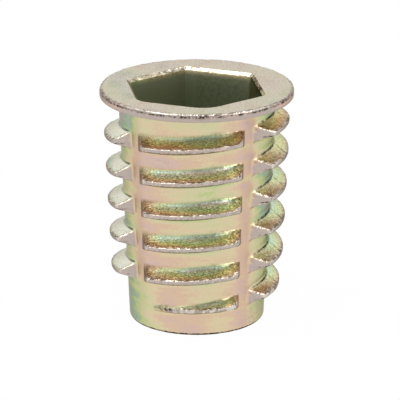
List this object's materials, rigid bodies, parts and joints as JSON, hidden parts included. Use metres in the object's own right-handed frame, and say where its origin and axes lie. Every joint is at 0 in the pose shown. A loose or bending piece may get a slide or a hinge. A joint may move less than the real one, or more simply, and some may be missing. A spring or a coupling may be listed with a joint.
{
  "type": "threaded insert",
  "caption": "Flanged screw-in insert for wood with a coarse interrupted outside thread, a hexagon drive socket in the flange and a machine-threaded bore below it.",
  "frame": {"origin": "centre of the lower end face, on the axis", "axes": "+Z along the axis from the lower end up to the flange; corners of the hexagon socket and two opposite parting strips on X"},
  "size_m": [0.0202, 0.0202, 0.025],
  "materials": {
    "zinc_yellow": "zinc die casting with a yellow iridescent passivated coat, satin, worn bright on the edges"
  },
  "bodies": {
    "root": {"insert_body": "zinc_yellow"}
  },
  "joints": []
}
